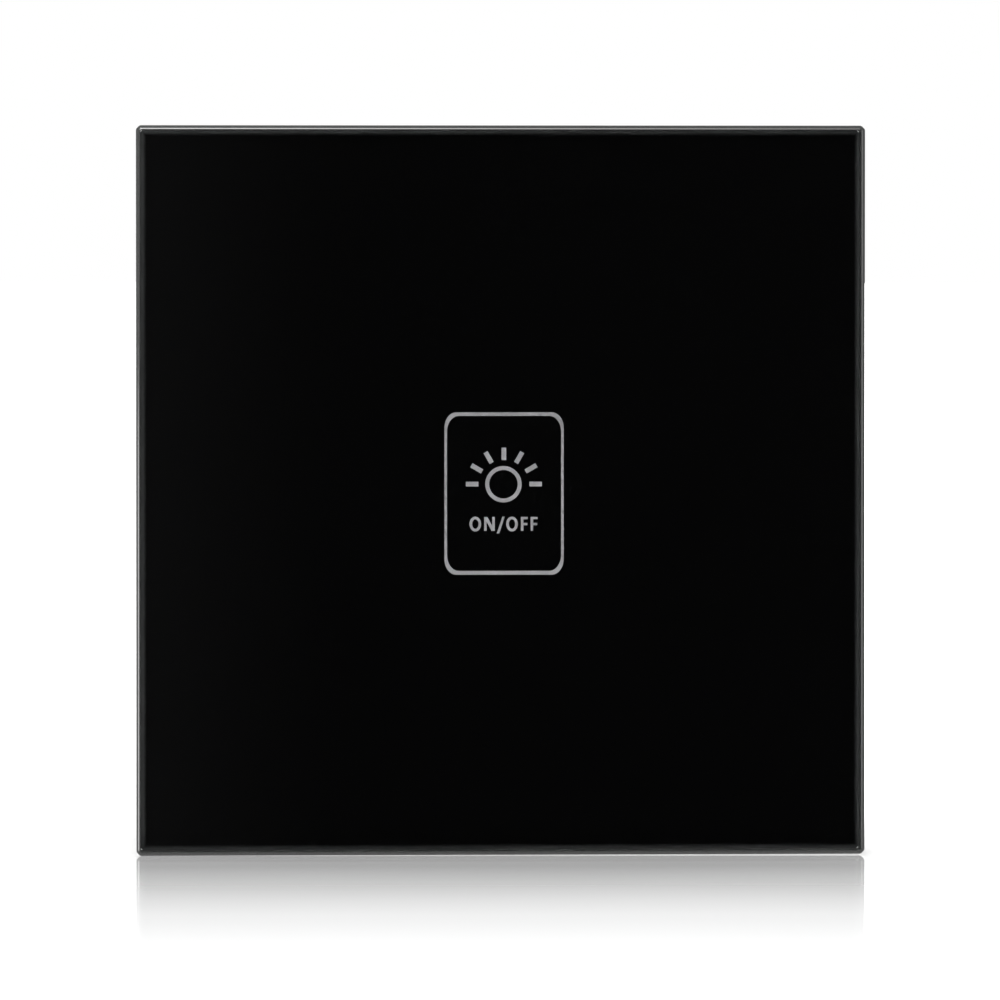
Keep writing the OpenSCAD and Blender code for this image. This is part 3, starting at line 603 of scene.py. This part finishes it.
def glass():
    """Sheet with a ground arris front and back; the front arris turns into the face over a narrow honed round."""
    bm = bmesh.new()
    rings = []
    for inset, w in ((0.56, GLASS_BACK), (0.0, GLASS_BACK + 0.37), (0.0, GLASS_FRONT - 0.34), (0.18, GLASS_FRONT - 0.16),
                     (0.27, GLASS_FRONT - 0.085), (0.36, GLASS_FRONT - 0.03), (0.45, GLASS_FRONT)):
        rings.append([at(u, v, w) for u, v in clipped(SIDE - 2 * inset, 0.44 - inset * 0.586)])
    loft(bm, rings, [1, 3, 1, 2, 2, 2])
    return piece("glass_sheet", bm, "front_panel", [M["clear_glass"], M["ground_glass"], M["honed_glass"], M["edge_glass"]], 14.0)


sheet = glass()
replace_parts(sheet, "glass_panel")

# ---------------------------------------------------------------- electrode spring

FIELD = (0.47, -0.42)


def helix(t):
    a = 2 * math.pi * 2.75 * t
    s = t * t * (3 - 2 * t)
    return Vector((FIELD[0] + 4.6 * math.cos(a), FIELD[1] + 4.6 * math.sin(a), 4.72 + (6.83 - 4.72) * (0.5 * t + 0.5 * s)))


def spring():
    bm = bmesh.new()
    n, k, r = 220, 14, 0.298
    rings = []
    for i in range(n + 1):
        t = i / n
        p = helix(t)
        d = (helix(min(1, t + 1e-3)) - helix(max(0, t - 1e-3))).normalized()
        out = Vector((p.x - FIELD[0], p.y - FIELD[1], 0)).normalized()
        up = d.cross(out).normalized()
        out = up.cross(d).normalized()
        caps = [(1.0, 0.0)]
        if i == 0:
            caps = [(math.sin(a), -math.cos(a)) for a in (0.35, 0.75, 1.15)] + caps
        if i == n:
            caps = caps + [(math.sin(a), math.cos(a)) for a in (1.15, 0.75, 0.35)]
        for scale, along in caps:
            c = p + d * (along * r)
            rings.append([at(*(c + out * (r * scale * math.cos(2 * math.pi * j / k)) + up * (r * scale * math.sin(2 * math.pi * j / k)))) for j in range(k)])
    loft(bm, rings)
    return piece("electrode_spring", bm, "base", M["spring_bronze"], 40)


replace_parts(spring(), "touch_spring")

# ---------------------------------------------------------------- windings


def behind(u, v):
    """Place on the wall side of the power board: x, y along the board, z towards the wall."""
    return lambda x, y, z: at(u + x, v + y, -3.6 - z)


def wound(name, node, u, v, r_in, r_out, z0, z1, turns):
    bm = bmesh.new()
    loop = [(r_in, z1), (r_in, z0)]
    step = (z1 - z0) / turns
    for i in range(turns):
        for k in range(7):
            a = math.pi * k / 6
            loop.append((r_out - step / 2 + step / 2 * math.sin(a), z0 + step * (i + 0.5 - 0.5 * math.cos(a))))
    ring_lathe(bm, loop, behind(u, v), 72)
    o = piece(name, bm, "base", M["copper_wire"], 50)
    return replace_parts(o, node)


wound("choke_turns", "choke_winding", -15.5, 6, 2.43, 4.09, 1.62, 7.56, 15)
wound("relay_turns", "relay_coil", 13.5, 3.5, 2.23, 4.89, 3.52, 10.46, 22)

# ---------------------------------------------------------------- touch board print, pads and solder

BOARD = 4.4


def on_board(x, y, z):
    return at(x, y, BOARD + z)


CHIPS = [(-9, -12.5, 0), (-9, -15.2, 0), (-19.5, -14, 90), (-14, -17.5, 0), (-11, -19.6, 0), (-17.3, -19.6, 0),
         (12, -13, 90), (15, -13, 90), (18, -16.5, 0), (12, -18.4, 0), (-10.5, 10.5, 0), (11.4, 10.5, 0),
         (-11, 15.6, 90), (11.5, 15.6, 90), (14.2, 15.6, 90), (-16, 4, 0), (16.4, 4, 0)]
PIN_X = [-14 + 1.27 * i for i in (-1.5, -0.5, 0.5, 1.5)]
TRACES = [
    [(-5.08, 20), (-5.08, 18.2), (-6.9, 16.4), (-11, 16.4)],
    [(-11, 14.8), (-11, 11.6), (-11.3, 11.3), (-11.3, 10.5)],
    [(-9.7, 10.5), (-8.7, 9.5), (-8.7, 6.3), (-1.4, 6.3)],
    [(5.08, 20), (5.08, 18.2), (6.9, 16.4), (11.5, 16.4)],
    [(11.5, 14.8), (11.5, 12.1), (12.2, 11.4), (12.2, 10.5)],
    [(10.6, 10.5), (9.6, 9.5), (9.6, 6.3), (2.3, 6.3)],
    [(2.54, 20), (2.54, 21.9), (3.5, 22.9), (12.6, 22.9), (14.2, 21.3), (14.2, 16.4)],
    [(14.2, 14.8), (14.2, 6.2), (15.6, 4.8), (15.6, 4)],
    [(17.2, 4), (17.2, -16.5)],
    [(12, -13.8), (12, -17), (11.2, -17.8), (11.2, -18.4)],
    [(12.8, -18.4), (14.7, -18.4), (16.6, -16.5), (17.2, -16.5)],
    [(15, -13.8), (15, -15.4), (16.1, -16.5)],
    [(12, -12.2), (12, -10), (9.1, -7.1), (2.3, -7.1)],
    [(15, -12.2), (15, -3.4), (12, -0.4), (5.6, -0.4)],
    [(PIN_X[3], -9.65), (PIN_X[3], -8.3), (-9.5, -5.7), (-9.5, -0.4), (-4.7, -0.4)],
    [(PIN_X[2], -9.65), (PIN_X[2], 2.2), (-15.2, 4)],
    [(PIN_X[1], -9.65), (PIN_X[1], -5), (-16.8, -2.8), (-16.8, 4)],
    [(PIN_X[0], -9.65), (PIN_X[0], -7.6), (-18.6, -4.9), (-18.6, 15.4), (-11.1, 22.9), (-3.5, 22.9), (-2.54, 21.9), (-2.54, 20)],
    [(PIN_X[3], -15.35), (-11.9, -15.2), (-9.8, -15.2)],
    [(-9.8, -12.5), (-11.2, -12.5)],
    [(-8.2, -12.5), (-7.2, -11.5), (-7.2, -8.2), (-6.1, -7.1), (-1.4, -7.1)],
    [(PIN_X[2], -15.35), (PIN_X[2], -17.1), (-13.2, -17.5)],
    [(PIN_X[0], -15.35), (-16.5, -15.9), (-18.9, -15.9), (-19.5, -15.3), (-19.5, -14.8)],
    [(PIN_X[1], -15.35), (PIN_X[1], -16.9), (-14.8, -17.5)],
    [(-16.5, -19.6), (-11.8, -19.6)],
    [(-13.2, -17.5), (-11.8, -18.9), (-11.8, -19.6)],
    [(-10.2, -19.6), (-9.4, -19.6), (-8.2, -18.4), (-8.2, -15.2)],
    [(0, 20), (0, 14.2)],
    [(-19.5, -13.2), (-19.5, -12.6), (-17.4, -10.5), (-17.4, -7.2)],
    [(18.8, -16.5), (21.6, -19.3), (21.6, -22.3)],
    [(-18.1, -19.6), (-20.8, -22.3)],
]
VIAS = [(0, 14.2), (-17.4, -7.2), (21.6, -22.3), (-20.8, -22.3), (9.6, 6.3), (-9.5, -3), (17.2, -4), (14.2, 10.4), (-18.6, 9.4),
        (-6.4, -20.6), (-3.2, -20.6), (0, -20.6), (3.2, -20.6), (6.4, -20.6)]


def traces():
    bm = bmesh.new()
    for t in TRACES:
        strip(bm, t, 0.36 if len(t) < 5 else 0.3, -0.004, 0.03, on_board, draft=0.03)
    return piece("board_traces", bm, "base", M["trace_green"], 20)


def pads():
    bm = bmesh.new()
    for x, y, a in CHIPS:
        for s in (-1, 1):
            dx, dy = (s * 0.86, 0) if a == 0 else (0, s * 0.86)
            w, h = (0.78, 1.0) if a == 0 else (1.0, 0.78)
            tile(bm, [(x + dx + p[0], y + dy + p[1]) for p in rounded(w, h, 0.1, 3)], -0.004, 0.022, on_board, 0.02)
    for px in PIN_X:
        for y in (-9.65, -15.35):
            tile(bm, [(px + p[0], y + p[1]) for p in rounded(0.62, 1.5, 0.1, 3)], -0.004, 0.022, on_board, 0.02)
    for x, y in VIAS:
        ring_lathe(bm, [(0.5, -0.004), (0.48, 0.03), (0.22, 0.03), (0.2, -0.004)], lambda a, b, c, x=x, y=y: on_board(x + a, y + b, c), 20)
    # landing ring of the electrode spring and lamp pads
    ring_lathe(bm, [(5.35, -0.004), (5.32, 0.02), (3.88, 0.02), (3.85, -0.004)], lambda a, b, c: on_board(FIELD[0] + a, FIELD[1] + b, c), 72)
    for dy in (0, 6.7, -6.7):
        for s in (-1, 1):
            tile(bm, [(FIELD[0] + s * 1.75 + p[0], FIELD[1] + dy + p[1]) for p in rounded(1.0, 2.2, 0.12, 3)], -0.004, 0.024, on_board, 0.02)
    return piece("board_pads", bm, "base", M["tin"], 25)


def legend():
    """White outlines round the parts; no lettering."""
    bm = bmesh.new()

    def line(path, closed=False, w=0.16):
        strip(bm, path, w, 0.0, 0.028, on_board, closed, 0.02)

    for x, y, a in CHIPS:
        for s in (-1, 1):
            if a == 0:
                line([(x - 1.45, y + s * 0.5), (x - 1.45, y + s * 0.8), (x + 1.45, y + s * 0.8), (x + 1.45, y + s * 0.5)])
            else:
                line([(x + s * 0.5, y - 1.45), (x + s * 0.8, y - 1.45), (x + s * 0.8, y + 1.45), (x + s * 0.5, y + 1.45)])
    line([(-16.9, -14.9), (-16.9, -10.1)], w=0.2)
    line([(-11.1, -14.9), (-11.1, -10.1)], w=0.2)
    tile(bm, circle(-16.95, -15.6, 0.28, 20), 0.0, 0.028, on_board, 0.02)
    line(rounded(16.7, 21.7, 1.9, 6) and [(FIELD[0] + p[0], FIELD[1] + p[1]) for p in rounded(16.7, 21.7, 1.9, 6)], True, 0.2)
    line([(p[0], 20 + p[1]) for p in rounded(14.2, 3.6, 0.4, 3)], True, 0.2)
    line([(-6.3, 18.2), (-6.3, 21.8)], w=0.2)
    for x in (-20.5, 20.5):
        line(circle(x, -10, 2.55, 40), True, 0.18)
    for sx in (-1, 1):
        for sy in (-1, 1):
            line([(sx * 23.1, sy * 21.6), (sx * 23.1, sy * 24.1), (sx * 20.6, sy * 24.1)], w=0.2)
    return piece("board_legend", bm, "base", M["silk_white"], 25)


def solder_joints():
    bm = bmesh.new()
    for i in range(-2, 3):
        prof = [(0.0, 0.0), (0.95, 0.0), (0.93, 0.035)]
        for k in range(1, 8):
            t = k / 7
            prof.append((0.93 - 0.52 * (1 - (1 - t) ** 2), 0.035 + 0.42 * t * t))
        prof.append((0.34, 0.47))
        prof.append((0.0, 0.47))
        lathe(bm, prof, lambda a, b, c, i=i: on_board(i * 2.54 + a, 20 + b, c), 32)
    return piece("header_solder", bm, "base", M["solder"], 40)


traces()
pads()
legend()
solder_joints()

# ---------------------------------------------------------------- raised terminal marks in the sunk field at the back


def on_back(x, y, z):
    """x runs left to right as seen from behind; z stands proud of the sunk field."""
    return at(-x, y, -24.2 - z)


def back_marks():
    bm = bmesh.new()

    def stroke(path, w=0.42, closed=False):
        strip(bm, path, w, -0.02, 0.2, on_back, closed, 0.05)

    # L at the live pole, N in the middle, lamp sign at the load pole
    lx = 8.0
    stroke([(lx - 0.75, 5.2), (lx - 0.75, 2.2), (lx + 0.85, 2.2)])
    stroke([(-0.85, 2.2), (-0.85, 5.2), (0.85, 2.2), (0.85, 5.2)])
    stroke(circle(-8, 3.7, 1.6, 36), 0.36, True)
    for a in (45, 135):
        c, s = math.cos(math.radians(a)) * 1.36, math.sin(math.radians(a)) * 1.36
        stroke([(-8 - c, 3.7 - s), (-8 + c, 3.7 + s)], 0.34)
    for x in (lx, 0, -8):
        tile(bm, [(x - 0.7, 0.9), (x, -0.1), (x + 0.7, 0.9)], -0.02, 0.2, on_back, 0.05)
    return piece("terminal_marks", bm, "base", M["mark_grey"], 25)


back_marks()

# ---------------------------------------------------------------- stage, light and camera


def stage_floor():
    bm = bmesh.new()
    s = 30.0
    n = 2
    # the left foot touches; the right one stands a tenth of a millimetre clear
    rows = [[bm.verts.new((x, -s + 2 * s * j / n, -0.04306 - 0.0012 * x)) for x in (-s, 0.0, s)] for j in range(n + 1)]
    for j in range(n):
        for i in range(n):
            bm.faces.new((rows[j][i], rows[j][i + 1], rows[j + 1][i + 1], rows[j + 1][i]))
    mesh = bpy.data.meshes.new("floor")
    bm.to_mesh(mesh)
    bm.free()
    o = bpy.data.objects.new("floor", mesh)
    SCENE.collection.objects.link(o)
    f = Finish("floor_white")
    tree = f.tree
    tree.nodes.remove(f.bsdf)
    x, y, _ = f.axes()
    # distance from the footprint of the part
    dx = f.calc("MAXIMUM", f.calc("SUBTRACT", f.calc("ABSOLUTE", x), 0.043), 0.0)
    dy = f.calc("MAXIMUM", f.calc("SUBTRACT", f.calc("ABSOLUTE", f.calc("ADD", y, -0.0065)), 0.018), 0.0)
    dist = f.calc("SQRT", f.calc("ADD", f.calc("MULTIPLY", dx, dx), f.calc("MULTIPLY", dy, dy)))
    fade = f.add("ShaderNodeValToRGB")
    f.link(f.span(dist, 0.0, 0.35, 0.0, 1.0), fade.inputs["Fac"])
    stops = [(0.0, 0.82), (0.02, 0.92), (0.035, 0.95), (0.06, 0.95), (0.11, 0.85), (0.17, 0.755), (0.24, 0.61), (0.31, 0.495), (0.43, 0.42), (1.0, 0.0)]
    els = fade.color_ramp.elements
    while len(els) < len(stops):
        els.new(0.5)
    for e, (p, v) in zip(els, stops):
        e.position = p
        e.color = (v, v, v, 1)
    facing = f.add("ShaderNodeFresnel")
    facing.inputs["IOR"].default_value = 1.9
    weight = f.calc("MULTIPLY", fade.outputs["Color"], facing.outputs[0])
    dif = f.add("ShaderNodeBsdfDiffuse")
    dif.inputs["Color"].default_value = (0.4, 0.4, 0.4, 1)
    glow = f.add("ShaderNodeEmission")
    glow.inputs["Color"].default_value = (1, 1, 1, 1)
    # painted light on the sweep, seen only by the lens: brighter behind the part and away from it, which paints out the
    # part's shadows there and leaves a painted contact shadow at the foot, without lighting the part more
    painted_floor_light = f.calc("ADD", f.span(y, 0.03, 0.08, 0.0, 1.0), f.calc("ADD", f.span(dist, 0.0, 0.014, 0.29, 0.79), f.calc("ADD", f.calc("MULTIPLY", f.span(dx, 0.0, 0.004, 0.0, 0.8), f.span(y, -0.10, -0.03, 0.0, 1.0)), f.span(dist, 0.12, 0.6, 0.0, 0.9))))
    path = f.add("ShaderNodeLightPath").outputs
    seen = path["Is Camera Ray"]
    # a bounce card along the front of the foot lights the lower arris
    card = f.calc("MULTIPLY", f.span(y, -0.020, -0.014, 0.0, 1.1), f.span(y, -0.0112, -0.0105, 1.0, 0.0))
    card = f.calc("MULTIPLY", card, f.span(path["Is Transmission Ray"], 0.0, 1.0, 1.0, 0.0))
    bounce = f.calc("MULTIPLY", f.calc("ADD", card, 0.34), f.span(seen, 0.0, 1.0, 1.0, 0.0))
    f.link(f.calc("ADD", f.calc("MULTIPLY", painted_floor_light, seen), bounce), glow.inputs["Strength"])
    white = f.add("ShaderNodeAddShader")
    f.link(dif.outputs[0], white.inputs[0])
    f.link(glow.outputs[0], white.inputs[1])
    gloss = f.add("ShaderNodeBsdfGlossy")
    gloss.inputs["Color"].default_value = (1, 1, 1, 1)
    gloss.inputs["Roughness"].default_value = 0.02
    mixer = f.add("ShaderNodeMixShader")
    f.link(weight, mixer.inputs[0])
    f.link(white.outputs[0], mixer.inputs[1])
    f.link(gloss.outputs[0], mixer.inputs[2])
    # the underside lets light and sight through
    clear = f.add("ShaderNodeBsdfTransparent")
    side = f.add("ShaderNodeMixShader")
    f.link(f.add("ShaderNodeNewGeometry").outputs["Backfacing"], side.inputs[0])
    f.link(mixer.outputs[0], side.inputs[1])
    f.link(clear.outputs[0], side.inputs[2])
    f.link(side.outputs[0], tree.nodes["Material Output"].inputs["Surface"])
    mesh.materials.append(f.mat)
    o.visible_glossy = False
    o.visible_shadow = False
    return o


stage_floor()


def softbox(name, place, aim, w, h, power, colour=(1, 1, 1), spread=180.0):
    d = bpy.data.lights.new(name, "AREA")
    d.shape = "RECTANGLE"
    d.size, d.size_y, d.energy, d.color = w, h, power, colour
    d.spread = math.radians(spread)
    o = bpy.data.objects.new(name, d)
    o.location = place
    o.rotation_mode = "QUATERNION"
    o.rotation_quaternion = (Vector(aim) - Vector(place)).to_track_quat("-Z", "Y")
    SCENE.collection.objects.link(o)
    return o


softbox("overhead", (0.0, 0.25, 1.0), (0, 0, 0), 1.2, 0.8, 1.0)
softbox("key_top", (-0.25, -0.68, 0.70), (0, 0, 0), 0.9, 0.9, 2.8, spread=48.0)
softbox("fill_left", (-0.88, -0.32, -0.14), (0, 0, 0), 0.36, 0.30, 1.8)
softbox("fill_right", (0.85, -0.50, 0.12), (0, 0, 0), 0.3, 0.5, 0.8)
softbox("back_right", (0.6, 0.9, 0.55), (0, 0, 0), 0.8, 0.8, 0.39, spread=36.6)
softbox("back_left", (-0.7, 0.8, 0.35), (0, 0, 0), 0.75, 0.75, 0.27, spread=37.1)

world = bpy.data.worlds.new("studio")
SCENE.world = world
world.use_nodes = True
wt = world.node_tree
wt.nodes.clear()


def wnode(kind, **props):
    n = wt.nodes.new(kind)
    for k, v in props.items():
        setattr(n, k, v)
    return n


w_out = wnode("ShaderNodeOutputWorld")
w_dir = wnode("ShaderNodeTexCoord").outputs["Generated"]
w_xyz = wnode("ShaderNodeSeparateXYZ")
wt.links.new(w_dir, w_xyz.inputs[0])
w_half = wnode("ShaderNodeMath", operation="MULTIPLY_ADD")
wt.links.new(w_xyz.outputs["Y"], w_half.inputs[0])
w_half.inputs[1].default_value = 0.5
w_half.inputs[2].default_value = 0.5
w_ramp = wnode("ShaderNodeValToRGB")
wt.links.new(w_half.outputs[0], w_ramp.inputs["Fac"])
els = w_ramp.color_ramp.elements
stops = [(0.0, 0.02), (0.03, 0.03), (0.12, 0.32), (0.5, 0.5), (0.7, 0.5), (1.0, 0.42)]
while len(els) < len(stops):
    els.new(0.5)
for e, (p, v) in zip(els, stops):
    e.position = p
    e.color = (v, v, v, 1)
# a dim glow just left of the lens, which the left of the glass mirrors
w_glow = wnode("ShaderNodeMapRange", interpolation_type="SMOOTHSTEP")
wt.links.new(w_xyz.outputs["X"], w_glow.inputs["Value"])
for k, v in (("From Min", 0.004), ("From Max", 0.040), ("To Min", 0.075), ("To Max", 0.0)):
    w_glow.inputs[k].default_value = v
# the room in front darkens downwards, so that the glass stays black when seen from above
w_pane = wnode("ShaderNodeMapRange", interpolation_type="SMOOTHSTEP")
wt.links.new(w_xyz.outputs["Z"], w_pane.inputs["Value"])
for k, v in (("From Min", -0.28), ("From Max", 0.06), ("To Min", 0.28), ("To Max", 1.15)):
    w_pane.inputs[k].default_value = v
w_off = wnode("ShaderNodeMapRange", interpolation_type="SMOOTHSTEP")
wt.links.new(w_xyz.outputs["Y"], w_off.inputs["Value"])
for k, v in (("From Min", -0.45), ("From Max", -0.25), ("To Min", 1.0), ("To Max", 0.0)):
    w_off.inputs[k].default_value = v
w_view = wnode("ShaderNodeMix", data_type="RGBA", blend_type="MULTIPLY")
wt.links.new(w_off.outputs[0], w_view.inputs["Factor"])
wt.links.new(w_ramp.outputs["Color"], w_view.inputs[6])
wt.links.new(w_pane.outputs[0], w_view.inputs[7])
w_sum = wnode("ShaderNodeMix", data_type="RGBA", blend_type="ADD")
w_sum.inputs["Factor"].default_value = 1.0
wt.links.new(w_view.outputs[2], w_sum.inputs[6])
wt.links.new(w_glow.outputs[0], w_sum.inputs[7])
# a white band along the skyline, for the floor to mirror
w_band = wnode("ShaderNodeMapRange", interpolation_type="SMOOTHSTEP")
wt.links.new(w_xyz.outputs["Z"], w_band.inputs["Value"])
for k, v in (("From Min", 0.14), ("From Max", 0.22), ("To Min", 0.6), ("To Max", 0.0)):
    w_band.inputs[k].default_value = v
w_rear = wnode("ShaderNodeMapRange", interpolation_type="SMOOTHSTEP")
wt.links.new(w_xyz.outputs["Y"], w_rear.inputs["Value"])
for k, v in (("From Min", -0.2), ("From Max", 0.3), ("To Min", 0.0), ("To Max", 1.0)):
    w_rear.inputs[k].default_value = v
w_line = wnode("ShaderNodeMath", operation="MULTIPLY")
wt.links.new(w_band.outputs[0], w_line.inputs[0])
wt.links.new(w_rear.outputs[0], w_line.inputs[1])
w_all = wnode("ShaderNodeMix", data_type="RGBA", blend_type="ADD")
w_all.inputs["Factor"].default_value = 1.0
wt.links.new(w_sum.outputs[2], w_all.inputs[6])
wt.links.new(w_line.outputs[0], w_all.inputs[7])
w_soft = wnode("ShaderNodeBackground")
wt.links.new(w_all.outputs[2], w_soft.inputs["Color"])
w_white = wnode("ShaderNodeBackground")
w_white.inputs["Color"].default_value = (1, 1, 1, 1)
w_mix = wnode("ShaderNodeMixShader")
wt.links.new(wnode("ShaderNodeLightPath").outputs["Is Camera Ray"], w_mix.inputs[0])
wt.links.new(w_soft.outputs[0], w_mix.inputs[1])
wt.links.new(w_white.outputs[0], w_mix.inputs[2])
wt.links.new(w_mix.outputs[0], w_out.inputs["Surface"])

AZ, EL, DIST = math.radians(-3.0), math.radians(1.3), 1.2
front = Vector((0, -0.0115, 0))
aim = Vector((-0.000151, -0.0115, -0.001121))
eye = front + Vector((math.sin(AZ) * math.cos(EL), -math.cos(AZ) * math.cos(EL), math.sin(EL))) * DIST
cam = bpy.data.cameras.new("camera")
cam.lens = 366.58
cam.sensor_width = 36.0
cam.clip_start = 0.05
cam.clip_end = 100
camera = bpy.data.objects.new("camera", cam)
camera.location = eye
camera.rotation_mode = "QUATERNION"
camera.rotation_quaternion = (aim - eye).to_track_quat("-Z", "Y")
SCENE.collection.objects.link(camera)
SCENE.camera = camera

SCENE.view_settings.view_transform = "Standard"
SCENE.view_settings.look = "None"
SCENE.view_settings.exposure = 0.0
SCENE.view_settings.gamma = 1.0
SCENE.cycles.use_denoising = True
SCENE.cycles.max_bounces = 16
SCENE.cycles.transmission_bounces = 12
SCENE.cycles.glossy_bounces = 6
SCENE.cycles.diffuse_bounces = 5

bpy.context.view_layer.update()
